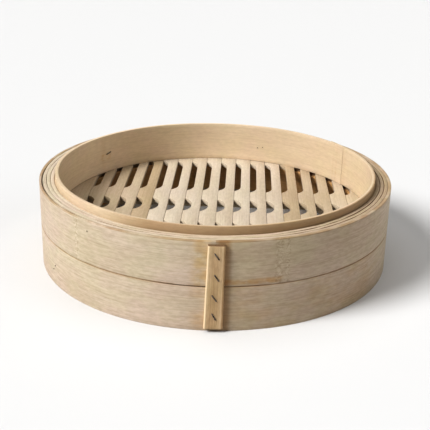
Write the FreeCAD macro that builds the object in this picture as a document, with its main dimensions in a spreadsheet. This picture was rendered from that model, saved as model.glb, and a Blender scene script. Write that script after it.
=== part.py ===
import FreeCAD, Part

import math
import os

import Sketcher

Vector = FreeCAD.Vector
Rotation = FreeCAD.Rotation

# A bamboo steamer basket: one tier, standing on its base.
# Origin: centre of the base. +Z is up, -Y is the front, where the joint batten is.
# The wall is a stack of bent hoops, from the outside in: two outer bands, three fillers, then the
# collar (above the floor) and the support hoop (below it). The slat ends are held between those two.

# Driving sizes, in millimetres and degrees.
SIZES = [
    ("outer_radius", 100.0, "outside of the outer bands"),
    ("wall_height", 48.0, "base to rim, where the next tier rests"),
    ("band_thickness", 1.8, "outer bands"),
    ("filler_thickness", 2.2, "each filler hoop"),
    ("liner_thickness", 2.4, "collar hoop and support hoop"),
    ("seam_height", 24.1, "middle of the seam between the outer bands"),
    ("seam_gap", 0.2, "opening of that seam"),
    ("band_end_gap", 0.8, "between a band's two ends, under the batten"),
    ("band_end_offset", 0.9, "how far right of centre the band ends meet"),
    ("floor_height", 27.7, "base to the top of the slats"),
    ("collar_rise", 3.8, "collar above the rim"),
    ("collar_relief", 0.6, "taken off the collar's outside above the rim"),
    ("collar_easing", 0.4, "chamfer round the collar's top outside edge"),
    ("socket_depth", 6.0, "base to the support hoop, where the tier below enters"),
    ("socket_relief", 0.6, "taken off the inner filler round that socket"),
    ("scarf_length", 16.0, "taper of a hoop's lapped ends"),
    ("scarf_gap", 0.15, "glue line of a scarf"),
    ("slat_pitch", 9.67, "joint to joint across the floor"),
    ("first_joint", -76.1, "joint between the first and second slats"),
    ("slat_thickness", 2.7, "floor slats"),
    ("slat_gap", 0.3, "open joint between slats"),
    ("slat_end_play", 0.2, "slat ends to the inner filler"),
    ("floor_turn", -1.81, "turn of the floor about the vertical, degrees"),
    ("notch_depth", 3.9, "long steam notches into a slat's left edge"),
    ("middle_notch_depth", 4.6, "short steam notch in the middle of that edge"),
    ("cutter_radius", 13.5, "round cutter that makes the notches"),
    ("notch_near", 34.5, "cutter's first place along a long notch"),
    ("notch_far", 70.5, "cutter's last place along a long notch"),
    ("bar_width", 10.0, "cross bars under the slats"),
    ("bar_thickness", 3.0, "cross bars under the slats"),
    ("bar_offset", 17.0, "middle of the floor to the middle of a cross bar"),
    ("bar_play", 0.15, "each side of a cross bar in the support hoop"),
    ("batten_foot_height", 2.1, "base to the foot of the joint batten"),
    ("batten_head_height", 46.4, "base to the head of the joint batten"),
    ("batten_thickness", 2.3, "joint batten in front of the bands"),
    ("batten_foot_width", 9.5, "joint batten at its foot"),
    ("batten_head_width", 8.4, "joint batten at its head"),
    ("batten_foot_offset", 0.45, "middle of the batten's foot, right of centre"),
    ("batten_head_offset", 1.5, "middle of the batten's head, right of centre"),
    ("batten_chamfer", 0.7, "long front edges of the batten"),
    ("wire_radius", 0.28, "staple wire"),
    ("wire_bend", 0.4, "bend of the wire's middle line, and how far a crown stands off"),
    ("point_stand", 0.3, "how far the points of a staple through the wall stand out"),
    ("wall_crown", 3.6, "crown of a staple in the wall"),
    ("batten_leg", 6.0, "batten staple, from the batten's face to its points"),
    ("collar_leg", 4.4, "collar staple, from the collar's face to its points"),
    ("bar_crown", 5.0, "crown of a staple under a cross bar"),
    ("bar_bite", 1.8, "how far a cross bar's staple enters the slat"),
]

SLAT_COUNT = 18
FILLERS = ("outer", "middle", "inner")

# Where each hoop's scarf lies, degrees round from +X.
SCARF_AT = {
    "collar_hoop": 28.0,
    "support_hoop": 52.0,
    "filler_hoop_inner": 1.0,
    "filler_hoop_middle": 118.0,
    "filler_hoop_outer": -168.0,
}

# Batten staples: distance right of centre, height, and slope of the crown in degrees.
BATTEN_STAPLES = [(1.70, 41.05, -55.0), (1.80, 29.80, -56.0), (0.80, 19.00, -54.0), (0.75, 8.95, -62.0)]

# Wall staples: azimuth, height, and slope of the crown in degrees, seen from outside.
COLLAR_STAPLES = [(140.4, 40.05, -15.8), (-20.0, 38.0, 12.0)]
THROUGH_STAPLES = [(70.7, 37.45, -12.7)]
SUPPORT_STAPLES = [(-148.5, 10.0, 48.9), (30.0, 12.5, 20.0), (97.0, 11.5, -14.0)]

doc = FreeCAD.newDocument("bamboo_steamer_basket")
pieces = []


# ------------------------------------------------------------ sheet of sizes

sheet = doc.addObject("Spreadsheet::Sheet", "Sizes")
for row, (alias, value, meaning) in enumerate(SIZES, start=1):
    sheet.set(f"A{row}", alias)
    sheet.set(f"B{row}", str(value))
    sheet.set(f"C{row}", meaning)
    sheet.setAlias(f"B{row}", alias)
doc.recompute()

# Sizes that several pieces share, as expressions of the sheet.
BAND_INSIDE = "(Sizes.outer_radius - Sizes.band_thickness)"
WALL_INSIDE = f"({BAND_INSIDE} - {len(FILLERS)} * Sizes.filler_thickness)"
LINER_INSIDE = f"({WALL_INSIDE} - Sizes.liner_thickness)"
SLAT_UNDERSIDE = "(Sizes.floor_height - Sizes.slat_thickness)"
BAR_UNDERSIDE = f"({SLAT_UNDERSIDE} - Sizes.bar_thickness)"
FLOOR_RADIUS = f"({WALL_INSIDE} - Sizes.slat_end_play)"
BATTEN_FACE = "(Sizes.outer_radius + Sizes.batten_thickness)"
CUTTER_BACK = "(Sizes.cutter_radius - Sizes.notch_depth)"
CLEAR_OF_WALL = "(1.5 * Sizes.outer_radius)"


def worked_out(expression):
    """The number an expression of the sheet's sizes comes to."""
    return float(sheet.evalExpression(str(expression)))


def size(alias):
    return worked_out(f"Sizes.{alias}")


# ------------------------------------------------------------ sketching

def plane_of(body, role):
    return next(f for f in body.Origin.OriginFeatures if f.Role == role)


def new_body(name, turn=None):
    body = doc.addObject("PartDesign::Body", name)
    body.Label = name
    if turn:
        body.setExpression(".Placement.Rotation.Angle", f"{turn} * 1 deg")
    pieces.append(body)
    return body


def new_sketch(body, name, role="XY_Plane", offset=None, turn=None):
    """A sketch on one of the body's own planes, moved off it by an expression and turned by an angle."""
    sketch = body.newObject("Sketcher::SketchObject", f"{body.Name}_{name}")
    sketch.AttachmentSupport = [(plane_of(body, role), "")]
    sketch.MapMode = "FlatFace"
    if turn is not None:
        axis = Vector(0, 0, 1) if role == "XY_Plane" else Vector(0, 1, 0)
        sketch.AttachmentOffset = FreeCAD.Placement(Vector(0, 0, 0), Rotation(axis, turn))
    if offset is not None:
        sketch.setExpression(".AttachmentOffset.Base.z", offset)
    return sketch


def bind(sketch, constraint, expression):
    """Adds a dimension and ties it to the sheet. Its sign comes from the geometry, so it is kept positive."""
    index = sketch.addConstraint(constraint)
    name = f"size_{index}"
    sketch.renameConstraint(index, name)
    sketch.setExpression(f"Constraints.{name}", str(expression))


def place_point(sketch, geo, point, across, up):
    """Ties a point of the sketch to two signed distances from its origin."""
    for kind, expression in (("DistanceX", across), ("DistanceY", up)):
        value = worked_out(expression)
        if value >= 0:
            bind(sketch, Sketcher.Constraint(kind, -1, 1, geo, point, abs(value)), expression)
        else:
            bind(sketch, Sketcher.Constraint(kind, geo, point, -1, 1, abs(value)), f"-({expression})")


def circle(sketch, radius, across="0", up="0"):
    centre = Vector(worked_out(across), worked_out(up), 0)
    geo = sketch.addGeometry(Part.Circle(centre, Vector(0, 0, 1), worked_out(radius)), False)
    bind(sketch, Sketcher.Constraint("Radius", geo, worked_out(radius)), radius)
    if across == up == "0":
        sketch.addConstraint(Sketcher.Constraint("Coincident", geo, 3, -1, 1))
    else:
        place_point(sketch, geo, 3, across, up)
    return geo


def polygon(sketch, corners):
    """A closed outline of straight lines; each corner is (across, up), both expressions."""
    points = [Vector(worked_out(x), worked_out(y), 0) for x, y in corners]
    lines = [
        sketch.addGeometry(Part.LineSegment(points[i], points[(i + 1) % len(points)]), False)
        for i in range(len(points))
    ]
    for i, line in enumerate(lines):
        sketch.addConstraint(Sketcher.Constraint("Coincident", line, 2, lines[(i + 1) % len(lines)], 1))
    for line, (x, y) in zip(lines, corners):
        place_point(sketch, line, 1, x, y)


def rectangle(sketch, left, right, low, high):
    polygon(sketch, [(left, low), (right, low), (right, high), (left, high)])


def stadium(sketch, radius, across, low, high):
    """Two half circles joined by lines: the path a round cutter leaves from low to high."""
    r, x = worked_out(radius), worked_out(across)
    y0, y1 = worked_out(low), worked_out(high)
    up = Vector(0, 0, 1)
    top = sketch.addGeometry(Part.ArcOfCircle(Part.Circle(Vector(x, y1, 0), up, r), 0, math.pi), False)
    round_foot = Part.ArcOfCircle(Part.Circle(Vector(x, y0, 0), up, r), math.pi, 2 * math.pi)
    foot = sketch.addGeometry(round_foot, False)
    left = sketch.addGeometry(Part.LineSegment(Vector(x - r, y1, 0), Vector(x - r, y0, 0)), False)
    right = sketch.addGeometry(Part.LineSegment(Vector(x + r, y0, 0), Vector(x + r, y1, 0)), False)
    for one, other in ((top, left), (left, foot), (foot, right), (right, top)):
        sketch.addConstraint(Sketcher.Constraint("Tangent", one, 2, other, 1))
    bind(sketch, Sketcher.Constraint("Radius", top, r), radius)
    place_point(sketch, top, 3, across, high)
    place_point(sketch, foot, 3, across, low)


def pad(body, sketch, length):
    feature = body.newObject("PartDesign::Pad", f"{sketch.Name}_pad")
    feature.Profile = sketch
    feature.setExpression("Length", length)
    return feature


def pocket(body, sketch, length=None, reverse=False):
    """Cuts away from the sketch's face (reverse: along its normal); with no length it goes right through."""
    feature = body.newObject("PartDesign::Pocket", f"{sketch.Name}_cut")
    feature.Profile = sketch
    feature.Reversed = reverse
    if length is None:
        feature.Type = "ThroughAll"
    else:
        feature.setExpression("Length", length)
    check_cut(body, feature)
    return feature


def check_cut(body, feature):
    """Recomputes, and stops if the feature took nothing away. Leg holes are told by their new faces."""
    faces, volume = len(body.Shape.Faces), body.Shape.Volume
    body.Tip = feature
    doc.recompute()
    shape = feature.Shape
    if len(shape.Faces) <= faces and shape.Volume >= volume * (1 - 1e-5):
        raise RuntimeError(f"{feature.Name} cuts nothing")


# ------------------------------------------------------------ hoops

def legs_of(slope, crown):
    """Where a staple's two legs stand, from the middle of its crown: (across, up)."""
    c, s = math.cos(math.radians(slope)), math.sin(math.radians(slope))
    return [(f"({side * c:.5f} * {crown} / 2)", f"({side * s:.5f} * {crown} / 2)") for side in (-1, 1)]


# Every staple in the wall: its place, how near the axis it starts and how far out its holes end.
WALL_STAPLES = (
    [(place, LINER_INSIDE, f"({LINER_INSIDE} + Sizes.collar_leg)") for place in COLLAR_STAPLES]
    + [(place, LINER_INSIDE, "Sizes.outer_radius") for place in THROUGH_STAPLES + SUPPORT_STAPLES]
)


def revolve(body, corners):
    """A full ring from a closed outline; each corner is (radius, height)."""
    sketch = new_sketch(body, "section", "XZ_Plane")
    polygon(sketch, corners)
    feature = body.newObject("PartDesign::Revolution", f"{body.Name}_ring")
    feature.Profile = sketch
    feature.ReferenceAxis = (sketch, ["V_Axis"])
    feature.Angle = 360.0
    doc.recompute()


def cut_scarf(body, inside, outside):
    """Thin slanting cut right through a hoop, which leaves its two ends lapped."""
    sketch = new_sketch(body, "scarf", turn=SCARF_AT[body.Name])
    half = "(Sizes.scarf_length / 2)"
    polygon(sketch, [
        (f"{inside} - 1", f"-{half}"),
        (f"{inside} - 1 + Sizes.scarf_gap", f"-{half}"),
        (f"{outside} + 1 + Sizes.scarf_gap", half),
        (f"{outside} + 1", half),
    ])
    pocket(body, sketch, reverse=True)


def drill_for_wall_staples(body, inside, outside, low, high, body_turn=0.0):
    """Leg holes for the wall staples that enter this hoop, each pair cut outwards from the axis."""
    r_in, r_out, z_low, z_high = (worked_out(e) for e in (inside, outside, low, high))
    for number, (place, start, end) in enumerate(WALL_STAPLES, start=1):
        azimuth, height, slope = place
        reaches = worked_out(start) < r_out - 1e-6 and worked_out(end) > r_in + 1e-6
        if not reaches or not z_low < height < z_high:
            continue
        sketch = new_sketch(body, f"staple_{number}", "XZ_Plane", turn=azimuth + 90 - body_turn)
        for across, up in legs_of(slope, "Sizes.wall_crown"):
            circle(sketch, "Sizes.wire_radius", across, f"({height} + {up})")
        pocket(body, sketch, end, reverse=True)


def drill_for_batten_staples(body, low, high):
    """Leg holes of the batten staples, from their points out to the front."""
    z_low, z_high = worked_out(low), worked_out(high)
    sketch = new_sketch(body, "batten_staples", "XZ_Plane", offset=f"{BATTEN_FACE} - Sizes.batten_leg")
    for across, height, slope in BATTEN_STAPLES:
        for aside, up in legs_of(slope, "Sizes.wall_crown"):
            if z_low < height + worked_out(up) < z_high:
                circle(sketch, "Sizes.wire_radius", f"({across} + {aside})", f"({height} + {up})")
    pocket(body, sketch, reverse=True)


def make_collar_hoop():
    """The upper inner hoop: it bears on the slat ends and stands above the rim, relieved outside there."""
    body = new_body("collar_hoop")
    low, rim, top = "Sizes.floor_height", "Sizes.wall_height", "(Sizes.wall_height + Sizes.collar_rise)"
    relieved = f"({WALL_INSIDE} - Sizes.collar_relief)"
    revolve(body, [
        (LINER_INSIDE, low),
        (WALL_INSIDE, low),
        (WALL_INSIDE, rim),
        (relieved, rim),
        (relieved, f"{top} - Sizes.collar_easing"),
        (f"{relieved} - Sizes.collar_easing", top),
        (LINER_INSIDE, top),
    ])
    cut_scarf(body, LINER_INSIDE, WALL_INSIDE)
    drill_for_wall_staples(body, LINER_INSIDE, WALL_INSIDE, low, top)


def make_support_hoop():
    """The lower inner hoop: it carries the slat ends, and the cross bars are let into its top edge."""
    body = new_body("support_hoop", turn="Sizes.floor_turn")
    low = "Sizes.socket_depth"
    revolve(body, [
        (LINER_INSIDE, low),
        (WALL_INSIDE, low),
        (WALL_INSIDE, SLAT_UNDERSIDE),
        (LINER_INSIDE, SLAT_UNDERSIDE),
    ])
    seats = new_sketch(body, "bar_seats", offset=SLAT_UNDERSIDE)
    for side in (-1, 1):
        middle = f"({side} * Sizes.bar_offset)"
        half = "(Sizes.bar_width / 2 + Sizes.bar_play)"
        rectangle(seats, f"-{CLEAR_OF_WALL}", CLEAR_OF_WALL, f"{middle} - {half}", f"{middle} + {half}")
    pocket(body, seats, "Sizes.bar_thickness")
    cut_scarf(body, LINER_INSIDE, WALL_INSIDE)
    drill_for_wall_staples(body, LINER_INSIDE, WALL_INSIDE, low, SLAT_UNDERSIDE, size("floor_turn"))


def make_filler_hoop(ply):
    """One of the hoops between the bands and the liners, counted inwards from 0."""
    body = new_body(f"filler_hoop_{FILLERS[ply]}")
    outside = f"({BAND_INSIDE} - {ply} * Sizes.filler_thickness)"
    inside = f"({BAND_INSIDE} - {ply + 1} * Sizes.filler_thickness)"
    foot = [(inside, "0")]
    if FILLERS[ply] == "inner":
        socket = f"({inside} + Sizes.socket_relief)"
        foot = [(inside, "Sizes.socket_depth"), (socket, "Sizes.socket_depth"), (socket, "0")]
    revolve(body, foot + [(outside, "0"), (outside, "Sizes.wall_height"), (inside, "Sizes.wall_height")])
    cut_scarf(body, inside, outside)
    drill_for_wall_staples(body, inside, outside, "0", "Sizes.wall_height")
    if FILLERS[ply] == "outer":
        drill_for_batten_staples(body, "0", "Sizes.wall_height")


def make_band(name, low, high):
    """An outer band, whose ends meet under the batten."""
    body = new_body(name)
    outside = "Sizes.outer_radius"
    revolve(body, [(BAND_INSIDE, low), (outside, low), (outside, high), (BAND_INSIDE, high)])
    ends = new_sketch(body, "ends")
    half = "(Sizes.band_end_gap / 2)"
    rectangle(ends, f"Sizes.band_end_offset - {half}", f"Sizes.band_end_offset + {half}",
              f"-{CLEAR_OF_WALL}", f"-({BAND_INSIDE} - 1)")
    pocket(body, ends, reverse=True)
    drill_for_wall_staples(body, BAND_INSIDE, outside, low, high)
    drill_for_batten_staples(body, low, high)


def make_batten():
    """The upright strip over the ends of both bands; its back is hollowed to lie against them."""
    body = new_body("joint_batten")
    front = new_sketch(body, "front", "XZ_Plane", offset=f"{BAND_INSIDE} - 1")
    foot, head = "Sizes.batten_foot_offset", "Sizes.batten_head_offset"
    low, high = "Sizes.batten_foot_height", "Sizes.batten_head_height"
    polygon(front, [
        (f"{foot} - Sizes.batten_foot_width / 2", low),
        (f"{foot} + Sizes.batten_foot_width / 2", low),
        (f"{head} + Sizes.batten_head_width / 2", high),
        (f"{head} - Sizes.batten_head_width / 2", high),
    ])
    pad(body, front, "Sizes.band_thickness + Sizes.batten_thickness + 1")
    doc.recompute()
    back = new_sketch(body, "back")
    circle(back, "Sizes.outer_radius")
    pocket(body, back, reverse=True)
    blank = body.Tip
    edges = long_front_edges(blank.Shape)
    chamfer = body.newObject("PartDesign::Chamfer", "batten_edges")
    chamfer.Base = (blank, edges)
    chamfer.setExpression("Size", "Sizes.batten_chamfer")
    doc.recompute()
    drill_for_batten_staples(body, low, high)


def long_front_edges(shape):
    """Names of the two long edges of a batten's front face."""
    face, tall = -worked_out(BATTEN_FACE), size("batten_head_height") / 2
    return [
        f"Edge{i}" for i, edge in enumerate(shape.Edges, start=1)
        if edge.Length > tall and all(abs(v.Y - face) < 1e-6 for v in edge.Vertexes)
    ]


# ------------------------------------------------------------ floor

def joint_at(number):
    """Where the joint after slat `number` lies, measured across the floor."""
    return f"(Sizes.first_joint + {number - 1} * Sizes.slat_pitch)"


def trim_to_wall(body, low):
    """Rounds a floor piece's ends off just clear of the inner filler."""
    sketch = new_sketch(body, "trim", offset=low)
    circle(sketch, FLOOR_RADIUS)
    circle(sketch, CLEAR_OF_WALL)
    pocket(body, sketch, reverse=True)


def cut_notches(body, edge):
    """Steam notches along a slat's left edge: a short one in the middle and a long one each side."""
    sketch = new_sketch(body, "notches", offset=SLAT_UNDERSIDE)
    beside = f"({edge} - {CUTTER_BACK})"
    middle = f"({edge} + Sizes.middle_notch_depth - Sizes.cutter_radius)"
    circle(sketch, "Sizes.cutter_radius", middle, "0")
    stadium(sketch, "Sizes.cutter_radius", beside, "Sizes.notch_near", "Sizes.notch_far")
    stadium(sketch, "Sizes.cutter_radius", beside, "-Sizes.notch_far", "-Sizes.notch_near")
    pocket(body, sketch, reverse=True)


def bar_staple_holes(sketch, middle):
    """The leg holes of both cross bars' staples at one slat."""
    for side in (-1, 1):
        for leg in (-1, 1):
            circle(sketch, "Sizes.wire_radius", f"({middle} + {leg} * Sizes.bar_crown / 2)",
                   f"({side} * Sizes.bar_offset)")


def staple_line(number):
    """Where slat `number` is stapled, measured across the floor."""
    return f"({joint_at(number)} - Sizes.slat_pitch / 2)"


def make_slat(number):
    body = new_body(f"floor_slat_{number:02d}", turn="Sizes.floor_turn")
    half_gap = "Sizes.slat_gap / 2"
    left = "-Sizes.outer_radius" if number == 1 else f"({joint_at(number - 1)} + {half_gap})"
    right = "Sizes.outer_radius" if number == SLAT_COUNT else f"({joint_at(number)} - {half_gap})"
    blank = new_sketch(body, "blank", offset=SLAT_UNDERSIDE)
    rectangle(blank, left, right, "-Sizes.outer_radius", "Sizes.outer_radius")
    pad(body, blank, "Sizes.slat_thickness")
    doc.recompute()
    trim_to_wall(body, SLAT_UNDERSIDE)
    if number > 1:
        cut_notches(body, left)
    holes = new_sketch(body, "staple_holes", offset=SLAT_UNDERSIDE)
    bar_staple_holes(holes, staple_line(number))
    pocket(body, holes, "Sizes.bar_bite", reverse=True)


def make_cross_bar(name, side):
    """A bar under the slats, its ends in the support hoop, with a row of staple holes."""
    body = new_body(name, turn="Sizes.floor_turn")
    middle = f"({side} * Sizes.bar_offset)"
    blank = new_sketch(body, "blank", offset=BAR_UNDERSIDE)
    half = "Sizes.bar_width / 2"
    end = "Sizes.outer_radius"
    rectangle(blank, f"-{end}", end, f"{middle} - {half}", f"{middle} + {half}")
    pad(body, blank, "Sizes.bar_thickness")
    doc.recompute()
    trim_to_wall(body, BAR_UNDERSIDE)
    pair = new_sketch(body, "staple_holes", offset=BAR_UNDERSIDE)
    for leg in (-1, 1):
        circle(pair, "Sizes.wire_radius", f"({staple_line(1)} + {leg} * Sizes.bar_crown / 2)", middle)
    first = pocket(body, pair, reverse=True)
    row = body.newObject("PartDesign::LinearPattern", f"{name}_row")
    row.Originals = [first]
    row.Direction = (pair, ["H_Axis"])
    row.setExpression("Length", f"{SLAT_COUNT - 1} * Sizes.slat_pitch")
    row.Occurrences = SLAT_COUNT
    check_cut(body, row)


# ------------------------------------------------------------ staples

def staple(middle, crown_way, leg_way, crown, leg):
    """One bent wire. Middle is on the face it is driven into, and leg is how deep its points go."""
    bend = size("wire_bend")
    corner = bend * (1 - math.sqrt(0.5))
    ends = [middle - leg_way * bend + crown_way * (side * crown / 2) for side in (-1, 1)]
    points = [end + leg_way * (bend + leg) for end in ends]
    path = []
    for end, side in zip(ends, (-1, 1)):
        inner = end - crown_way * (side * bend)
        lower = end + leg_way * bend
        bulge = end - crown_way * (side * corner) + leg_way * corner
        path.append((inner, bulge, lower))
    (a_in, a_mid, a_low), (b_in, b_mid, b_low) = path
    edges = [
        Part.LineSegment(points[0], a_low).toShape(),
        Part.Arc(a_low, a_mid, a_in).toShape(),
        Part.LineSegment(a_in, b_in).toShape(),
        Part.Arc(b_in, b_mid, b_low).toShape(),
        Part.LineSegment(b_low, points[1]).toShape(),
    ]
    section = Part.Wire([Part.Circle(points[0], leg_way, size("wire_radius")).toShape()])
    return Part.Wire(edges).makePipeShell([section], True, True)


def wall_staple(place, face, points, crown_inside=True):
    """A staple driven through the wall along a radius: face and points are distances from the axis."""
    azimuth, height, slope = place
    out = Vector(math.cos(math.radians(azimuth)), math.sin(math.radians(azimuth)), 0)
    across = Vector(-out.y, out.x, 0)
    rise = math.radians(slope)
    crown_way = across * math.cos(rise) + Vector(0, 0, math.sin(rise))
    middle = out * worked_out(face) + Vector(0, 0, height)
    leg_way = out if crown_inside else out * -1
    depth = abs(worked_out(points) - worked_out(face))
    return staple(middle, crown_way, leg_way, size("wall_crown"), depth)


def batten_staple(across, height, slope):
    rise = math.radians(slope)
    middle = Vector(across, -worked_out(BATTEN_FACE), height)
    crown_way = Vector(math.cos(rise), 0, math.sin(rise))
    return staple(middle, crown_way, Vector(0, 1, 0), size("wall_crown"), size("batten_leg"))


def bar_staple(number, side):
    middle = Vector(worked_out(staple_line(number)), side * size("bar_offset"), worked_out(BAR_UNDERSIDE))
    depth = size("bar_thickness") + size("bar_bite")
    return staple(middle, Vector(1, 0, 0), Vector(0, 0, 1), size("bar_crown"), depth)


def staple_group(name, staples, turn=0.0):
    group = doc.addObject("Part::Feature", name)
    group.Label = name
    group.Shape = Part.Compound(staples)
    group.Placement = FreeCAD.Placement(Vector(0, 0, 0), Rotation(Vector(0, 0, 1), turn))
    pieces.append(group)


def make_staples():
    staple_group("batten_staples", [batten_staple(*place) for place in BATTEN_STAPLES])
    in_fillers = f"({LINER_INSIDE} + Sizes.collar_leg)"
    inside_wall = f"({LINER_INSIDE} - Sizes.point_stand)"
    outside_wall = "(Sizes.outer_radius + Sizes.point_stand)"
    staple_group("collar_staples", [
        *(wall_staple(place, LINER_INSIDE, in_fillers) for place in COLLAR_STAPLES),
        *(wall_staple(place, "Sizes.outer_radius", inside_wall, False) for place in THROUGH_STAPLES),
    ])
    staple_group("support_staples", [
        wall_staple(place, LINER_INSIDE, outside_wall) for place in SUPPORT_STAPLES
    ])
    staple_group("bar_staples", [
        bar_staple(number, side) for number in range(1, SLAT_COUNT + 1) for side in (-1, 1)
    ], turn=size("floor_turn"))


# ------------------------------------------------------------ the whole basket

def check_pieces():
    for thing in doc.Objects:
        bad = {"Invalid", "Error"} & set(thing.State)
        if bad:
            raise RuntimeError(f"{thing.Name} is {sorted(bad)}")
    for piece in pieces:
        if piece.Shape.isNull() or not piece.Shape.isValid() or not piece.Shape.Solids:
            raise RuntimeError(f"{piece.Label} has no sound solid")


make_collar_hoop()
make_support_hoop()
for ply in range(len(FILLERS)):
    make_filler_hoop(ply)
make_band("lower_band", "0", "(Sizes.seam_height - Sizes.seam_gap / 2)")
make_band("upper_band", "(Sizes.seam_height + Sizes.seam_gap / 2)", "Sizes.wall_height")
make_batten()
for number in range(1, SLAT_COUNT + 1):
    make_slat(number)
make_cross_bar("cross_bar_front", -1)
make_cross_bar("cross_bar_rear", 1)
make_staples()
doc.recompute()
check_pieces()

os.makedirs("parts", exist_ok=True)
for piece in pieces:
    piece.Shape.exportStep(f"parts/{piece.Label}.step")
print(f"{len(pieces)} pieces written")
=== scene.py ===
import math
import random

import bmesh
import bpy
from mathutils import Matrix, Vector, noise


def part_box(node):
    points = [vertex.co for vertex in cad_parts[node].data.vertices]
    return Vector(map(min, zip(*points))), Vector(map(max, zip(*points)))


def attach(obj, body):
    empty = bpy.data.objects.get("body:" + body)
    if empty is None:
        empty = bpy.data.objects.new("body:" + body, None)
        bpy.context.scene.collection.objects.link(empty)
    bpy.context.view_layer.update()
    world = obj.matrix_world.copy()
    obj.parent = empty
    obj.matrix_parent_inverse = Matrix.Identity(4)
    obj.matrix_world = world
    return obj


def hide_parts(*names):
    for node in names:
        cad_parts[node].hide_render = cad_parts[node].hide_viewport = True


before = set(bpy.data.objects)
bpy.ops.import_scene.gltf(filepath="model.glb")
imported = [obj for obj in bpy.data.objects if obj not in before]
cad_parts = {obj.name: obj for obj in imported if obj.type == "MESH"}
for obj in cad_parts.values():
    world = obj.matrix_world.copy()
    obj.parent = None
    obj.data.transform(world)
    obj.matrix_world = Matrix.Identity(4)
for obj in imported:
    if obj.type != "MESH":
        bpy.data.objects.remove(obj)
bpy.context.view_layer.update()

# A bamboo steamer basket. Every strip is modelled flat, as it comes off the plane, then bent round.
# In metres. +Z is up and -Y is the front, where the joint batten is. Azimuths run round from +X.

ROOT = "root"
MM = 0.001


# ---------------------------------------------------------------- sizes read from the frame

def reach(node):
    """Least and greatest distance of a node's points from the basket's axis."""
    spans = [math.hypot(v.co.x, v.co.y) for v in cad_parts[node].data.vertices]
    return min(spans), max(spans)


OUTSIDE = reach("upper_band")[1]
RING = 2 * math.pi * OUTSIDE             # once round the outside
LINER_IN, LINER_OUT = reach("collar_hoop")
PLY = (reach("upper_band")[0] - LINER_OUT) / 3
FLOOR_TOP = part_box("floor_slat_09")[1].z
FLOOR_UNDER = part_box("floor_slat_09")[0].z
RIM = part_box("upper_band")[1].z
COLLAR_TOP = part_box("collar_hoop")[1].z
SLAT_REACH = reach("floor_slat_09")[1]
BATTEN_FRONT = -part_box("joint_batten")[0].y
BATTEN_LOW, BATTEN_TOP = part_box("joint_batten")[0].z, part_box("joint_batten")[1].z
SEAM = (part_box("lower_band")[1].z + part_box("upper_band")[0].z) / 2
SOCKET_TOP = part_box("support_hoop")[0].z

# ---------------------------------------------------------------- sizes of the maker's work

EASE = 0.16 * MM                         # sandpapered edge of a strip
FILLER_EASE = 0.4 * MM                   # a filler's edges are split off rougher
COLLAR_RELIEF = 0.6 * MM                 # planed off the collar above the rim
COLLAR_GROOVE = 0.9 * MM                 # how far below the rim that planing goes
SOCKET_RELIEF = 0.6 * MM                 # planed off the inner filler's foot
SPRUNG = 0.6 * MM                        # how far the upper band has sprung off the wall
SEAM_GAPE = 0.4 * MM                     # how far the seam opens left of the batten
FILLER_PLAY = 0.03 * MM                  # a filler's outside lies this much short of the next ply
BAND_PLAY = 0.02 * MM                    # and a band's this much inside the full size
LAP = 16 * MM                            # scarf of a hoop's two ends
GLUE_LINE = 0.06 * MM                    # gap between the two halves of a scarf
STRIP_STEP = 1.7 * MM                    # length of one facet of a bent strip

COLLAR_START = 28.0                      # where the collar's lap shows inside, degrees
BAND_START = -90 + math.degrees(1.0 * MM / OUTSIDE)     # just right of centre, under the batten
BAND_LENGTH = RING - 0.04 * MM

BATTEN_FOOT = (-4.3 * MM, 5.2 * MM)      # left and right edges at the foot
BATTEN_HEAD = (-2.7 * MM, 5.7 * MM)
BATTEN_BLANK = 4.5 * MM                  # half width before it is shaped

SLAT_COUNT = 18
SLAT_PITCH = 9.67 * MM
FIRST_JOINT = -76.1 * MM                 # joint between the first two slats
SLAT_GAP = 0.3 * MM
FLOOR_TURN = math.radians(-1.81)
CUTTER = 9 * MM                          # radius of the cutter that makes the steam notches
NOTCHES = (                              # the cutter's first and last place along a slat, and the depth
    (-72.6 * MM, -32.4 * MM, 3.9 * MM),
    (-2.3 * MM, 2.3 * MM, 4.6 * MM),
    (32.4 * MM, 72.6 * MM, 3.9 * MM),
)
SLAT_TONES = {                           # how brown each slat is, from 0 to 1
    1: 0.8, 2: 0.75, 3: 0.85, 4: 0.65, 5: 1.0, 6: 0.0, 8: 0.1, 10: 0.1, 12: 0.15, 13: 0.15,
    14: 0.95, 15: 0.7, 16: 0.7, 17: 0.45, 18: 0.65,
}
PALE_SLAT = 0.05                         # the tone of the rest
SCORCHED_SLAT = 14


# ---------------------------------------------------------------- mesh helpers

def bent(bm, start):
    """Bends a flat strip round the axis: x runs along it, y is the distance from the axis, z is up."""
    for v in bm.verts:
        turn = start + v.co.x / OUTSIDE
        v.co = Vector((v.co.y * math.cos(turn), v.co.y * math.sin(turn), v.co.z))


def keep_grain(bm, along=0, across=1, up=2):
    """Notes where each point lies in the wood, before it is bent or turned: x follows the fibres."""
    layer = bm.verts.layers.float_vector.new("grain")
    for v in bm.verts:
        v[layer] = Vector((v.co[along], v.co[across], v.co[up]))


def plank(low, high):
    """A box from its lowest to its highest corner."""
    bm = bmesh.new()
    size = high - low
    bmesh.ops.create_cube(bm, size=1.0)
    bmesh.ops.scale(bm, vec=size, verts=bm.verts)
    bmesh.ops.translate(bm, vec=(low + high) / 2, verts=bm.verts)
    return bm


def edges_along(bm, axis):
    """Edges of a plank that run along one axis."""
    found = []
    for e in bm.edges:
        way = (e.verts[1].co - e.verts[0].co).normalized()
        if abs(way[axis]) > 0.99:
            found.append(e)
    return found


def ease(bm, edges, width, segments=2):
    bmesh.ops.bevel(bm, geom=edges, offset=width, offset_type="OFFSET", segments=segments, profile=0.5,
                    affect="EDGES", clamp_overlap=True, material=-1)


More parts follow.
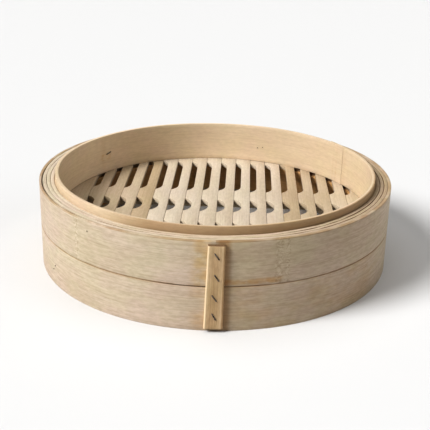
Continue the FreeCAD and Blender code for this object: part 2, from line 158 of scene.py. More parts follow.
def cut_across(bm, axis, at):
    """Cuts everything with a plane square to an axis."""
    way = Vector((0, 0, 0))
    way[axis] = 1.0
    geom = bm.verts[:] + bm.edges[:] + bm.faces[:]
    bmesh.ops.bisect_plane(bm, geom=geom, plane_co=way * at, plane_no=way)


def slice_along(bm, axis, low, high, count):
    """Cuts a plank crosswise into equal lengths."""
    for i in range(1, count):
        cut_across(bm, axis, low + (high - low) * i / count)


def finish_piece(bm, name, material, node, smooth_below=35):
    """Turns a bmesh into a piece of the basket that stands for a CAD node."""
    bmesh.ops.recalc_face_normals(bm, faces=bm.faces)
    mesh = bpy.data.meshes.new(name)
    bm.to_mesh(mesh)
    bm.free()
    mesh.polygons.foreach_set("use_smooth", [True] * len(mesh.polygons))
    mesh.set_sharp_from_angle(angle=math.radians(smooth_below))
    for m in material if isinstance(material, list) else [material]:
        mesh.materials.append(m)
    piece = bpy.data.objects.new(name, mesh)
    bpy.context.scene.collection.objects.link(piece)
    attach(piece, ROOT)
    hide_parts(node)
    return piece


# ---------------------------------------------------------------- node helpers

def put(socket, value):
    """Links a socket's output into an input, or sets a plain value on it."""
    if isinstance(value, bpy.types.NodeSocket):
        socket.id_data.links.new(value, socket)
    else:
        socket.default_value = value


def add(tree, kind, inputs=None, **settings):
    node = tree.nodes.new(kind)
    for key, value in settings.items():
        setattr(node, key, value)
    for key, value in (inputs or {}).items():
        put(node.inputs[key], value)
    return node


def maths(tree, operation, a, b=0.0, clamp=False):
    return add(tree, "ShaderNodeMath", {0: a, 1: b}, operation=operation, use_clamp=clamp).outputs[0]


def product(tree, *values):
    total = values[0]
    for value in values[1:]:
        total = maths(tree, "MULTIPLY", total, value)
    return total


def mixed(tree, amount, a, b, blend="MIX"):
    node = add(tree, "ShaderNodeMix", data_type="RGBA", blend_type=blend, clamp_factor=True)
    put(node.inputs[0], amount)
    put(node.inputs[6], a)
    put(node.inputs[7], b)
    return node.outputs[2]


def ramp(tree, value, low, high, to_low=0.0, to_high=1.0):
    """Value carried from low..high to to_low..to_high, smoothly and held at both ends."""
    node = add(tree, "ShaderNodeMapRange", {"Value": value, "From Min": low, "From Max": high,
                                            "To Min": to_low, "To Max": to_high},
               interpolation_type="SMOOTHSTEP")
    return node.outputs["Result"]


def stretched(tree, grain, along, across, shift=0.0):
    """Grain coordinates scaled to so many cycles per metre along the fibres and across them."""
    node = add(tree, "ShaderNodeMapping", {"Vector": grain, "Scale": (along, across, across),
                                           "Location": (shift, shift, shift)})
    return node.outputs["Vector"]


def cloud(tree, vector, detail=3.0, rough=0.55, distortion=0.0):
    return add(tree, "ShaderNodeTexNoise", {"Vector": vector, "Scale": 1.0, "Detail": detail,
                                            "Roughness": rough, "Distortion": distortion}).outputs["Fac"]


def near(tree, value, middle, half, soft):
    """1 where value is within half of middle, falling to 0 over soft."""
    away = maths(tree, "ABSOLUTE", maths(tree, "SUBTRACT", value, middle))
    return ramp(tree, away, half, half + soft, 1.0, 0.0)


def axes(tree, grain):
    """Distance along the fibres, across them and up, each as a number."""
    parts = add(tree, "ShaderNodeSeparateXYZ", {0: grain})
    return parts.outputs[0], parts.outputs[1], parts.outputs[2]


def carried(tree, name, output):
    """What a piece's points carry with them under a name."""
    node = add(tree, "ShaderNodeAttribute", attribute_type="GEOMETRY", attribute_name=name)
    return node.outputs[output]


def grain_of(tree, source):
    """Where a point lies in the wood: a strip carries it, and a plain part reads it off its own axes."""
    if source == "strip":
        return carried(tree, "grain", "Vector")
    place = add(tree, "ShaderNodeTexCoord").outputs["Object"]
    if source == "straight":
        return place
    parts = add(tree, "ShaderNodeSeparateXYZ", {0: place})
    turn = maths(tree, "ARCTAN2", parts.outputs[1], parts.outputs[0])
    out = add(tree, "ShaderNodeVectorMath", {0: place, 1: (1, 1, 0)}, operation="MULTIPLY").outputs["Vector"]
    radius = add(tree, "ShaderNodeVectorMath", {0: out}, operation="LENGTH").outputs["Value"]
    return add(tree, "ShaderNodeCombineXYZ", {0: maths(tree, "MULTIPLY", turn, OUTSIDE), 1: radius,
                                              2: parts.outputs[2]}).outputs[0]


# ---------------------------------------------------------------- finishes

def bamboo(name, pale, deep, source="strip", streaks=0.3, patches=0.4, flecks=0.5, fibres=0.3, dashes=0.2,
           cast=0.6, rough=0.62, relief=0.5, marks=None):
    """Planed bamboo. Pale and deep are the wood's two tones; marks adds what only one piece shows."""
    material = bpy.data.materials.new(name)
    material.use_nodes = True
    tree = material.node_tree
    shader = tree.nodes["Principled BSDF"]
    grain = grain_of(tree, source)
    # growth streaks a few millimetres wide, and broad patches, in the two tones
    streak = ramp(tree, cloud(tree, stretched(tree, grain, 9, 170), 4.0, 0.6, 0.2), 0.38, 0.64)
    patch = ramp(tree, cloud(tree, stretched(tree, grain, 22, 60, 3.1), 3.0, 0.5), 0.36, 0.66)
    tone = maths(tree, "ADD", product(tree, streak, streaks), product(tree, patch, patches), clamp=True)
    colour = mixed(tree, tone, (*pale, 1), (*deep, 1))
    # a rosy cast in some places and a straw one in others, small and broad
    for size, shift in (((60, 100), 8.2), ((24, 30), 4.4)):
        place = ramp(tree, cloud(tree, stretched(tree, grain, *size, shift), 2.0, 0.5), 0.4, 0.6)
        tint = mixed(tree, place, (1.0, 0.965, 0.985, 1), (0.98, 0.99, 0.94, 1))
        colour = mixed(tree, cast, colour, mixed(tree, 1.0, colour, tint, "MULTIPLY"))
    # short flecks the eye can see, then fine fibres and the dark dots of the vascular bundles
    fleck = cloud(tree, stretched(tree, grain, 260, 750, 2.3), 3.0, 0.6)
    shade = mixed(tree, ramp(tree, fleck, 0.3, 0.7), (0.80, 0.78, 0.74, 1), (1.12, 1.12, 1.12, 1))
    colour = mixed(tree, flecks, colour, mixed(tree, 1.0, colour, shade, "MULTIPLY"))
    fibre = cloud(tree, stretched(tree, grain, 40, 1700, 1.7), 5.0, 0.65, 0.1)
    thread = ramp(tree, fibre, 0.4, 0.72)
    dark = tuple(c * s for c, s in zip(deep, (0.62, 0.54, 0.46)))
    colour = mixed(tree, product(tree, thread, fibres), colour, (*dark, 1))
    dash = ramp(tree, cloud(tree, stretched(tree, grain, 120, 2900, 5.3), 2.0, 0.5), 0.62, 0.74)
    colour = mixed(tree, product(tree, dash, dashes), colour, (*(c * 0.6 for c in dark), 1))
    height = maths(tree, "ADD", fibre, product(tree, fleck, 0.5))
    if marks:
        colour, height = marks(tree, grain, colour, height)
    put(shader.inputs["Base Color"], colour)
    put(shader.inputs["Roughness"], ramp(tree, fibre, 0.25, 0.75, rough - 0.1, rough + 0.12))
    shader.inputs["Specular IOR Level"].default_value = 0.32
    bump = add(tree, "ShaderNodeBump", {"Height": height, "Strength": relief, "Distance": 0.12 * MM})
    put(shader.inputs["Normal"], bump.outputs["Normal"])
    return material


def knot_lines(tree, grain, colour, height, places):
    """Growth joints of the cane: narrow columns of short wrinkles, light and dark."""
    length, _, _ = axes(tree, grain)
    wrinkle = cloud(tree, stretched(tree, grain, 520, 620, 9.0), 2.0, 0.5, 1.4)
    for place, half in places:
        line = near(tree, length, place, half, 1.6 * MM)
        light = product(tree, line, ramp(tree, wrinkle, 0.52, 0.66), 0.36)
        dark = product(tree, line, ramp(tree, wrinkle, 0.34, 0.48, 1.0, 0.0), 0.45)
        colour = mixed(tree, light, colour, (0.68, 0.60, 0.47, 1))
        colour = mixed(tree, dark, colour, (0.27, 0.20, 0.11, 1))
        height = maths(tree, "ADD", height, product(tree, line, wrinkle, 1.5))
    return colour, height


def stain(tree, colour, strength, tint):
    """Glue or steam stain, broken up a little."""
    return mixed(tree, strength, colour, (*tint, 1), "MULTIPLY")


def browner_to_right(tree, grain, colour):
    """Both bands are browner from the batten round to the right."""
    length, _, _ = axes(tree, grain)
    right = near(tree, length, 45 * MM, 35 * MM, 60 * MM)
    return stain(tree, colour, product(tree, right, 0.9), (0.87, 0.84, 0.80))


def upper_band_marks(tree, grain, colour, height):
    """Knots, a glue stain left of the batten, painted shadow of the batten on its right, rubbed edges and
    one dark speck.
    """
    length, _, up = axes(tree, grain)
    knots = [(31.5 * MM, 1.2 * MM), (36.0 * MM, 0.5 * MM), (BAND_LENGTH - 78 * MM, 0.8 * MM)]
    colour, height = knot_lines(tree, grain, colour, height, knots)
    colour = browner_to_right(tree, grain, colour)
    blot = ramp(tree, cloud(tree, stretched(tree, grain, 110, 160, 6.0), 3.0, 0.6), 0.3, 0.6)
    beside_left = near(tree, length, BAND_LENGTH, 7.5 * MM, 7 * MM)
    colour = stain(tree, colour, product(tree, beside_left, blot, 0.75), (0.92, 0.78, 0.52))
    # painted shadow: the batten's shadow darkens the band just right of it
    batten_shadow = near(tree, length, 4 * MM, 1.6 * MM, 3 * MM)
    colour = stain(tree, colour, product(tree, batten_shadow, 0.85), (0.74, 0.57, 0.38))
    low_right = product(tree, near(tree, length, 16 * MM, 15 * MM, 4 * MM),
                        near(tree, up, SEAM + 2.4 * MM, 0.8 * MM, 1.3 * MM), blot, 0.8)
    colour = stain(tree, colour, low_right, (0.88, 0.66, 0.36))
    rubbed = ramp(tree, cloud(tree, stretched(tree, grain, 60, 60, 2.0), 2.0, 0.5), 0.35, 0.55)
    top_edge = product(tree, near(tree, up, RIM, 0.5 * MM, 0.5 * MM), rubbed, 0.55)
    colour = stain(tree, colour, top_edge, (0.66, 0.49, 0.28))
    seam_edge = product(tree, near(tree, up, SEAM, 0.25 * MM, 0.5 * MM), rubbed, 0.7)
    colour = stain(tree, colour, seam_edge, (0.62, 0.45, 0.26))
    speck = product(tree, near(tree, length, BAND_LENGTH - 69.5 * MM, 0.25 * MM, 0.2 * MM),
                    near(tree, up, 42 * MM, 0.35 * MM, 0.2 * MM))
    return mixed(tree, speck, colour, (0.08, 0.05, 0.03, 1)), height


def lower_band_marks(tree, grain, colour, height):
    """A glue stain left of the batten, painted shadow of the batten on its right, a browner right side and a
    rubbed edge at the seam.
    """
    length, _, up = axes(tree, grain)
    colour = browner_to_right(tree, grain, colour)
    blot = ramp(tree, cloud(tree, stretched(tree, grain, 40, 90, 4.0), 3.0, 0.6), 0.4, 0.65)
    beside_left = near(tree, length, BAND_LENGTH, 7 * MM, 8 * MM)
    colour = stain(tree, colour, product(tree, beside_left, blot, 0.8), (0.90, 0.74, 0.48))
    right = near(tree, length, 50 * MM, 42 * MM, 30 * MM)
    colour = stain(tree, colour, product(tree, right, blot, 0.5), (0.90, 0.80, 0.62))
    # painted shadow: the batten's shadow darkens the band just right of it
    batten_shadow = near(tree, length, 4 * MM, 1.6 * MM, 3 * MM)
    colour = stain(tree, colour, product(tree, batten_shadow, 0.8), (0.76, 0.60, 0.42))
    seam_edge = product(tree, near(tree, up, SEAM, 0.25 * MM, 0.5 * MM), 0.5)
    return stain(tree, colour, seam_edge, (0.66, 0.48, 0.28)), height


def filler_marks(tree, grain, colour, height):
    """Dark lines where one ply lies on the next, glue deepened with painted shade in the grooves, and the
    rim darker from the left towards the right, most at the right.
    """
    _, across, _ = axes(tree, grain)
    aside, _, _ = axes(tree, add(tree, "ShaderNodeTexCoord").outputs["Object"])
    depth = maths(tree, "SUBTRACT", across, LINER_OUT)
    broken = ramp(tree, cloud(tree, stretched(tree, grain, 50, 300, 7.0), 3.0, 0.6), 0.3, 0.55, 0.3, 1.0)
    # the rim is darker from the left towards the right, most at the right
    darker_rightward = ramp(tree, aside, -105 * MM, 0.0, 0.2, 1.0)
    darkest_right = ramp(tree, aside, 10 * MM, 95 * MM)
    # glue lines between the plies, deepened with painted shade in the grooves
    joint = ramp(tree, maths(tree, "PINGPONG", depth, PLY / 2), 0.08 * MM, 0.42 * MM, 1.0, 0.0)
    split = ramp(tree, maths(tree, "PINGPONG", depth, PLY / 4), 0.03 * MM, 0.22 * MM, 1.0, 0.0)
    colour = stain(tree, colour, product(tree, darker_rightward, 0.4), (0.88, 0.80, 0.68))
    colour = stain(tree, colour, product(tree, darkest_right, 0.8), (0.72, 0.65, 0.56))
    colour = stain(tree, colour, product(tree, split, broken, darker_rightward, 0.5), (0.50, 0.37, 0.22))
    return stain(tree, colour, product(tree, joint, broken, darker_rightward, 0.9), (0.36, 0.24, 0.13)), height


def collar_marks(tree, grain, colour, height):
    """Painted light along the back left, painted shade at the right front, and the hoop's stains at the
    staple and the lap.
    """
    length, across, up = axes(tree, grain)
    # painted light: the hoop is made paler along the left of the back, where the inner wall faces away from
    # the light
    pale = near(tree, length, along(118, COLLAR_START), 50 * MM, 55 * MM)
    painted_light_lift = mixed(tree, pale, (1.0, 1.0, 1.0, 1), (1.16, 1.17, 1.18, 1))
    colour = mixed(tree, 1.0, colour, painted_light_lift, "MULTIPLY")
    # painted shade: at the right front, away from the light, its outside and the outer half of its top edge
    # are darkened
    outer = ramp(tree, across, LINER_IN + 0.9 * MM, LINER_IN + 1.3 * MM)
    front = near(tree, length, along(-60, COLLAR_START), 85 * MM, 40 * MM)
    colour = stain(tree, colour, product(tree, outer, front, 0.9), (0.66, 0.56, 0.44))
    staple = along(140.4, COLLAR_START)
    blot = ramp(tree, cloud(tree, stretched(tree, grain, 150, 200, 1.0), 3.0, 0.6), 0.35, 0.6)
    below = product(tree, near(tree, length, staple + 3 * MM, 3 * MM, 3 * MM),
                    near(tree, up, 38 * MM, 1.2 * MM, 1.5 * MM), blot, 0.55)
    colour = stain(tree, colour, below, (0.80, 0.62, 0.38))
    upright = (                          # place, half width, softness and strength of upright stains
        (staple + 5 * MM, 1 * MM, 2 * MM, 0.14),
        (RING - 2 * MM, 2 * MM, 2 * MM, 0.12),
        (6.5 * MM, 0.3 * MM, 0.5 * MM, 0.3),
        (10 * MM, 0.2 * MM, 0.4 * MM, 0.2),
    )
    for place, half, soft, strength in upright:
        amount = product(tree, near(tree, length, place, half, soft), blot, strength)
        colour = stain(tree, colour, amount, (0.78, 0.62, 0.42))
    return colour, height


def batten_marks(tree, grain, colour, height):
    """Painted highlight along the left edge, which faces the light, and painted shade along the right edge.
    """
    _, aside, _ = axes(tree, grain)
    # painted highlight: the left edge is made paler
    left = ramp(tree, aside, 0.7 * MM - BATTEN_BLANK, 1.0 * MM - BATTEN_BLANK, 1.0, 0.0)
    colour = mixed(tree, product(tree, left, 0.7), colour, (0.78, 0.63, 0.42, 1))
    # painted shade: the right edge is made darker
    right = ramp(tree, aside, BATTEN_BLANK - 1.2 * MM, BATTEN_BLANK - 0.5 * MM)
    return stain(tree, colour, product(tree, right, 0.6), (0.70, 0.56, 0.40)), height


def slat_marks(tree, grain, colour, height):
    """The slat's own tone over the wood's, and a scorched place on the right edge of one slat."""
    tone = carried(tree, "tone", "Fac")
    colour = mixed(tree, tone, colour, (0.78, 0.705, 0.58, 1), "MULTIPLY")
    length, across, _ = axes(tree, grain)
    edge = FIRST_JOINT + (SCORCHED_SLAT - 1) * SLAT_PITCH
    lengthwise = near(tree, length, -24 * MM, 3.5 * MM, 5 * MM)
    beside_edge = near(tree, across, edge, 1.0 * MM, 1.2 * MM)
    scorch = product(tree, lengthwise, beside_edge)
    return stain(tree, colour, product(tree, scorch, 0.6), (0.30, 0.18, 0.09)), height


def wire():
    """Dull staple wire, browned with use."""
    material = bpy.data.materials.new("staple_wire")
    material.use_nodes = True
    tree = material.node_tree
    shader = tree.nodes["Principled BSDF"]
    place = add(tree, "ShaderNodeTexCoord").outputs["Object"]
    tarnish = ramp(tree, cloud(tree, stretched(tree, place, 900, 900), 4.0, 0.6), 0.4, 0.65)
    put(shader.inputs["Base Color"], mixed(tree, tarnish, (0.16, 0.14, 0.12, 1), (0.07, 0.045, 0.03, 1)))
    put(shader.inputs["Roughness"], ramp(tree, tarnish, 0, 1, 0.38, 0.7))
    shader.inputs["Metallic"].default_value = 0.7
    return material


# ---------------------------------------------------------------- hoops and bands

def strip(inside, outside, low, high, length, rows, eased=EASE):
    """A flat strip, eased along its four long edges, in facets short enough to bend smoothly."""
    bm = plank(Vector((0, inside, low)), Vector((length, outside, high)))
    ease(bm, edges_along(bm, 0), eased)
    slice_along(bm, 2, low, high, rows)
    facets = round(length / STRIP_STEP)
    bmesh.ops.subdivide_edges(bm, edges=edges_along(bm, 0), cuts=facets, use_grid_fill=True)
    return bm


def taper_ends(bm, inside, outside):
    """Planes the two ends of a full-round strip to a scarf, so that they lap: the first lies inside.

    Neither tip is planed to nothing: the inner keeps 2 hundredths of its thickness, the outer 6.
    """
    thick = outside - inside
    for v in bm.verts:
        if v.co.x < LAP:
            share = max(v.co.x / LAP, 0.02)
            v.co.y = inside + (v.co.y - inside) * share
        elif v.co.x > RING - STRIP_STEP:
            share = min(max((v.co.x - RING) / LAP, 0.03), 0.94)
            v.co.y = outside - (outside - v.co.y) * (1 - share) * (1 - GLUE_LINE / thick)


def wander(bm, low, high, seed, rise=0.12 * MM, fall=0.05 * MM):
    """The knife's wander: the upper edge strays down by rise and the lower edge up by fall."""
    for v in bm.verts:
        share = (v.co.z - low) / (high - low)
        long_wave = noise.noise(Vector((v.co.x * 28, seed, 0.3)))
        short_wave = noise.noise(Vector((v.co.x * 90, seed, 4.1)))
        stray = long_wave + 0.5 * short_wave
        if share > 0.5:
            v.co.z += min(stray - 0.6, 0) * rise * share
        else:
            v.co.z += max(stray, 0) * fall * (1 - share)


def gentle(x, middle, half, soft):
    """1 near middle, easing to 0 over soft."""
    t = (half + soft - abs(x - middle)) / soft
    t = min(max(t, 0.0), 1.0)
    return t * t * (3 - 2 * t)


def along(azimuth, start):
    """Distance along a strip that starts at one azimuth, to another, both in degrees."""
    return math.radians((azimuth - start) % 360) * OUTSIDE


def make_collar(finish):
    """The inner hoop, planed thinner above the rim so that the next tier slides over it."""
    low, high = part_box("collar_hoop")[0].z, COLLAR_TOP
    bm = strip(LINER_IN, LINER_OUT, low, high, RING + LAP, 10)
    foot = RIM - COLLAR_GROOVE
    for level in (foot, foot + 0.15 * MM):
        cut_across(bm, 2, level)
    middle = (LINER_IN + LINER_OUT) / 2
    for v in bm.verts:
        if v.co.z > foot + 0.1 * MM and v.co.y > middle:
            v.co.y -= COLLAR_RELIEF
    taper_ends(bm, LINER_IN, LINER_OUT)
    wander(bm, low, high, 2.0, rise=0.1 * MM)
    keep_grain(bm)
    bent(bm, math.radians(COLLAR_START))
    return finish_piece(bm, "collar", finish, "collar_hoop")


def make_filler(node, finish, start, seed):
    """One of the hoops between the collar and the bands, with its scarf at azimuth start."""
    inside, outside = reach(node)
    if node == "filler_hoop_inner":
        inside = LINER_OUT
    low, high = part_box(node)[0].z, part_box(node)[1].z
    bm = strip(inside, outside - FILLER_PLAY, low, high, RING + LAP, 6, FILLER_EASE)
    if node == "filler_hoop_inner":
        open_socket(bm, inside)
    taper_ends(bm, inside, outside)
    wander(bm, low, high, seed, rise=0.35 * MM)
    keep_grain(bm)
    bent(bm, math.radians(start))
    return finish_piece(bm, node + "_strip", finish, node)


def open_socket(bm, inside):
    """Planes the inner filler's foot thinner, where the collar of the tier below comes in."""
    for level in (SOCKET_TOP, SOCKET_TOP + 0.1 * MM):
        cut_across(bm, 2, level)
    for v in bm.verts:
        if v.co.z < SOCKET_TOP + 0.05 * MM and v.co.y < inside + 1.0 * MM:
            v.co.y += SOCKET_RELIEF


def make_band(node, finish, seed):
    """One of the two outer bands, whose ends butt under the batten."""
    inside, outside = reach(node)
    low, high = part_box(node)[0].z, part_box(node)[1].z
    bm = strip(inside, outside - BAND_PLAY, low, high, BAND_LENGTH, 10)
    stand_off = along(-142, BAND_START)
    for v in bm.verts:
        share = (v.co.z - low) / (high - low)
        if node == "upper_band" and share > 0.8 and v.co.y < inside + 0.9 * MM:
            # the band has sprung away from the filler along the left front
            v.co.y += SPRUNG * gentle(v.co.x, stand_off, 40 * MM, 40 * MM)
        if node == "lower_band" and share > 0.85:
            # the seam is tight but for the left of the batten, where it gapes
            v.co.z += 0.1 * MM - SEAM_GAPE * gentle(v.co.x, BAND_LENGTH, 18 * MM, 22 * MM)
    wander(bm, low, high, seed, rise=0.14 * MM)
    keep_grain(bm)
    bent(bm, math.radians(BAND_START))
    return finish_piece(bm, node + "_strip", finish, node)


# ---------------------------------------------------------------- batten

def make_batten(finish, end_grain):
    """The upright strip over the band ends: eased in front, knife-tapered, and hollowed to the wall."""
    low = Vector((-BATTEN_BLANK, -BATTEN_FRONT, BATTEN_LOW))
    high = Vector((BATTEN_BLANK, -OUTSIDE, BATTEN_TOP))
    bm = plank(low, high)
    front = [e for e in edges_along(bm, 2) if e.verts[0].co.y < -OUTSIDE - 1 * MM]
    ease(bm, front, 0.75 * MM, 3)
    ends = [e for e in bm.edges if len(e.link_faces) == 2 and e.calc_face_angle() > 0.8]
    ease(bm, ends, 0.14 * MM)
    slice_along(bm, 2, BATTEN_LOW, BATTEN_TOP, 30)
    slice_along(bm, 0, -BATTEN_BLANK, BATTEN_BLANK, 8)
    keep_grain(bm, along=2, across=0, up=1)
    for v in bm.verts:
        share = (v.co.z - BATTEN_LOW) / (BATTEN_TOP - BATTEN_LOW)
        left = BATTEN_FOOT[0] + (BATTEN_HEAD[0] - BATTEN_FOOT[0]) * share
        right = BATTEN_FOOT[1] + (BATTEN_HEAD[1] - BATTEN_FOOT[1]) * share
        across = (v.co.x + BATTEN_BLANK) / (2 * BATTEN_BLANK)
        stray = 0.12 * MM * noise.noise(Vector((v.co.x * 60, 7.0, v.co.z * 70)))
        v.co.x = left + (right - left) * across + stray
        if v.co.y > -OUTSIDE - 0.2 * MM:
            v.co.y += OUTSIDE - math.sqrt(OUTSIDE ** 2 - v.co.x ** 2)
    bm.normal_update()
    for f in bm.faces:
        f.material_index = 1 if abs(f.normal.z) > 0.8 else 0
    return finish_piece(bm, "batten", [finish, end_grain], "joint_batten")


# ---------------------------------------------------------------- floor

def walk(bm, tip, x, y):
    """Carries the outline on in a straight line to a point."""
    new = bmesh.ops.extrude_vert_indiv(bm, verts=[tip])["verts"][0]
    new.co = Vector((x, y, 0))
    return new


def sweep(bm, tip, centre, angle, steps):
    """Carries the outline on round an arc."""
    turned = bmesh.ops.spin(bm, geom=[tip], cent=(*centre, 0), axis=(0, 0, 1), dvec=(0, 0, 0), angle=angle,
                            steps=steps, use_merge=False, use_normal_flip=False, use_duplicate=False)
    return next(g for g in turned["geom_last"] if isinstance(g, bmesh.types.BMVert))


def notched_edge(bm, left, rng):
    """A slat's left edge from front to back: a short notch in the middle and a long one each side."""
    tip = bm.verts.new((left, -OUTSIDE, 0))
    for first, last, full_depth in NOTCHES:
        depth = full_depth + rng.uniform(-0.3, 0.05) * MM
        slip = rng.uniform(-0.5, 0.5) * MM
        centre = left + depth - CUTTER
        half = math.sqrt(CUTTER ** 2 - (CUTTER - depth) ** 2)
        quarter = math.asin(half / CUTTER)
        tip = walk(bm, tip, left, first + slip - half)
        tip = sweep(bm, tip, (centre, first + slip), quarter, 8)
        tip = walk(bm, tip, left + depth, last + slip)
        tip = sweep(bm, tip, (centre, last + slip), quarter, 8)
        tip.co.x = left
    walk(bm, tip, left, OUTSIDE)


def round_off(bm):
    """Trims a sheet to the wall's circle with a run of straight cuts."""
    cuts = 64
    for i in range(cuts):
        way = Vector((math.cos(2 * math.pi * i / cuts), math.sin(2 * math.pi * i / cuts), 0))
        geom = bm.verts[:] + bm.edges[:] + bm.faces[:]
        bmesh.ops.bisect_plane(bm, geom=geom, plane_co=way * SLAT_REACH, plane_no=way, clear_outer=True)


def make_slat(number, finish, rng):
    """A floor slat: its notched left edge drawn across to the right, trimmed round and thickened."""
    node = f"floor_slat_{number:02d}"
    first, last = number == 1, number == SLAT_COUNT
    left = -SLAT_REACH if first else FIRST_JOINT + (number - 2) * SLAT_PITCH + SLAT_GAP / 2
    right = SLAT_REACH if last else FIRST_JOINT + (number - 1) * SLAT_PITCH - SLAT_GAP / 2
    bm = bmesh.new()
    if first:
        walk(bm, bm.verts.new((left, -OUTSIDE, 0)), left, OUTSIDE)
    else:
        notched_edge(bm, left + rng.uniform(-0.1, -0.03) * MM, rng)
    pulled = bmesh.ops.extrude_edge_only(bm, edges=bm.edges[:])
    edge = right + (0 if last else rng.uniform(0.03, 0.1) * MM)
    for v in pulled["geom"]:
        if isinstance(v, bmesh.types.BMVert):
            v.co.x = edge
    round_off(bm)
    top = FLOOR_TOP - rng.uniform(0.0, 0.18) * MM
    for v in bm.verts:
        v.co.z = top
    bottom = bmesh.ops.extrude_face_region(bm, geom=bm.faces[:])
    for v in bottom["geom"]:
        if isinstance(v, bmesh.types.BMVert):
            v.co.z = FLOOR_UNDER
    bmesh.ops.recalc_face_normals(bm, faces=bm.faces)
    bm.normal_update()
    sharp = [e for e in bm.edges if len(e.link_faces) == 2 and e.calc_face_angle() > 0.6]
    ease(bm, sharp, 0.12 * MM)
    keep_grain(bm, along=1, across=0, up=2)
    tone = bm.verts.layers.float.new("tone")
    for v in bm.verts:
        v[tone] = SLAT_TONES.get(number, PALE_SLAT)
    bmesh.ops.rotate(bm, cent=(0, 0, 0), matrix=Matrix.Rotation(FLOOR_TURN, 3, "Z"), verts=bm.verts)
    return finish_piece(bm, f"slat_{number:02d}", finish, node, smooth_below=30)


def dress(node, finish, width=0.0):
    """Gives a part kept from the frame its finish and, where it is wood, sanded edges."""
    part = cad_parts[node]
    part.data.materials.clear()
    part.data.materials.append(finish)
    if width:
        weld = part.modifiers.new("weld", "WELD")
        weld.merge_threshold = 0.002 * MM
        edge = part.modifiers.new("eased", "BEVEL")
        edge.width, edge.segments, edge.limit_method = width, 2, "ANGLE"
        edge.angle_limit = math.radians(40)


# ---------------------------------------------------------------- the basket

band_tones = (0.55, 0.467, 0.366), (0.46, 0.37, 0.26)
upper_finish = bamboo("bamboo_upper_band", *band_tones, streaks=0.1, patches=0.3, marks=upper_band_marks)
lower_finish = bamboo("bamboo_lower_band", *band_tones, streaks=0.12, patches=0.3, marks=lower_band_marks)
hoop_finish = bamboo("bamboo_hoop", (0.655, 0.535, 0.39), (0.585, 0.465, 0.315), streaks=0.2,
                     flecks=0.25, fibres=0.2, dashes=0.1, cast=0.4, marks=collar_marks)
filler_finish = bamboo("bamboo_filler", (0.64, 0.575, 0.485), (0.56, 0.485, 0.375), streaks=0.3,
                       marks=filler_marks)
slat_finish = bamboo("bamboo_slat", (0.60, 0.525, 0.43), (0.53, 0.445, 0.335), streaks=0.35,
                     flecks=0.35, fibres=0.2, cast=0.3, marks=slat_marks)
batten_finish = bamboo("bamboo_batten", (0.62, 0.47, 0.30), (0.46, 0.32, 0.18), streaks=0.7, fibres=0.6,
                       dashes=0.4, marks=batten_marks)
end_finish = bamboo("bamboo_end_grain", (0.20, 0.12, 0.06), (0.12, 0.07, 0.03))
bar_finish = bamboo("bamboo_bar", (0.86, 0.79, 0.66), (0.76, 0.67, 0.52), source="straight")
support_finish = bamboo("bamboo_support", (0.62, 0.38, 0.17), (0.52, 0.30, 0.12), source="round")
wire_finish = wire()

make_collar(hoop_finish)
for node, start, seed in (("filler_hoop_inner", -4.0, 1.3), ("filler_hoop_middle", 113.0, 2.9),
                          ("filler_hoop_outer", -173.0, 5.1)):
    make_filler(node, filler_finish, start, seed)
make_band("upper_band", upper_finish, 3.7)
make_band("lower_band", lower_finish, 6.2)
make_batten(batten_finish, end_finish)
rng = random.Random(5)
for number in range(1, SLAT_COUNT + 1):
    make_slat(number, slat_finish, rng)
dress("support_hoop", support_finish, 0.2 * MM)
dress("cross_bar_front", bar_finish, 0.3 * MM)
dress("cross_bar_rear", bar_finish, 0.3 * MM)
for node in ("batten_staples", "collar_staples", "support_staples", "bar_staples"):
    dress(node, wire_finish)


# ---------------------------------------------------------------- stage, light and camera

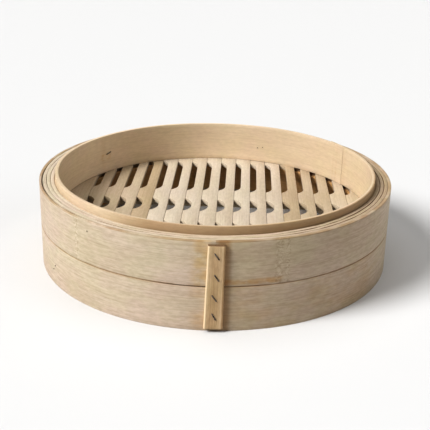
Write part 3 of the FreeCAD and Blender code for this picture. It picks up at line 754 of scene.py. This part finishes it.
def make_floor():
    """A plain pale floor, wide enough to fill every view."""
    bm = bmesh.new()
    bmesh.ops.create_grid(bm, x_segments=1, y_segments=1, size=40.0)
    mesh = bpy.data.meshes.new("floor")
    bm.to_mesh(mesh)
    bm.free()
    material = bpy.data.materials.new("pale_floor")
    material.use_nodes = True
    shader = material.node_tree.nodes["Principled BSDF"]
    shader.inputs["Base Color"].default_value = (0.66, 0.66, 0.66, 1)
    shader.inputs["Roughness"].default_value = 0.9
    mesh.materials.append(material)
    floor = bpy.data.objects.new("floor", mesh)
    bpy.context.scene.collection.objects.link(floor)


def soft_light(name, azimuth, elevation, spread, strength, colour=(1.0, 1.0, 1.0)):
    """A far, wide studio light, which falls evenly over basket and floor. Spread is how wide it looks."""
    data = bpy.data.lights.new(name, "SUN")
    data.angle, data.energy, data.color = math.radians(spread), strength, colour
    light = bpy.data.objects.new(name, data)
    bpy.context.scene.collection.objects.link(light)
    a, e = math.radians(azimuth), math.radians(elevation)
    way = Vector((math.cos(a) * math.cos(e), math.sin(a) * math.cos(e), math.sin(e)))
    light.rotation_euler = way.to_track_quat("Z", "Y").to_euler()


def make_camera():
    """A camera a little above the front, leaning as if held by hand."""
    elevation, lean, distance = math.radians(21.72), math.radians(1.3), 0.51517
    aside, down, aim_height = 0.12 * MM, 7.87 * MM, 30 * MM
    back = Vector((0, -math.cos(elevation), math.sin(elevation)))
    level, upright = Vector((1, 0, 0)), Vector((0, math.sin(elevation), math.cos(elevation)))
    right = math.cos(lean) * level + math.sin(lean) * upright
    up = -math.sin(lean) * level + math.cos(lean) * upright
    data = bpy.data.cameras.new("camera")
    data.sensor_width, data.lens = 36.0, 73.74
    camera = bpy.data.objects.new("camera", data)
    bpy.context.scene.collection.objects.link(camera)
    place = right * aside - up * down + back * distance + Vector((0, 0, aim_height))
    turn = Matrix((right, up, back)).transposed().to_4x4()
    camera.matrix_world = Matrix.Translation(place) @ turn
    bpy.context.scene.camera = camera


make_floor()
# the key light stands high at the left front, a weak one low at the right, and a broad one overhead
soft_light("key", -153, 41, 24, 5.1)
soft_light("fill", -8, 25, 50, 1.0, (1.0, 0.98, 0.95))
soft_light("overhead", 90, 84, 60, 1.3)
view = bpy.context.scene.view_settings
view.view_transform, view.exposure, view.gamma = "Standard", -0.2, 0.85
world = bpy.data.worlds.new("studio")
world.use_nodes = True
world.node_tree.nodes["Background"].inputs["Color"].default_value = (1.0, 0.97, 0.92, 1)
world.node_tree.nodes["Background"].inputs["Strength"].default_value = 0.08
bpy.context.scene.world = world
make_camera()
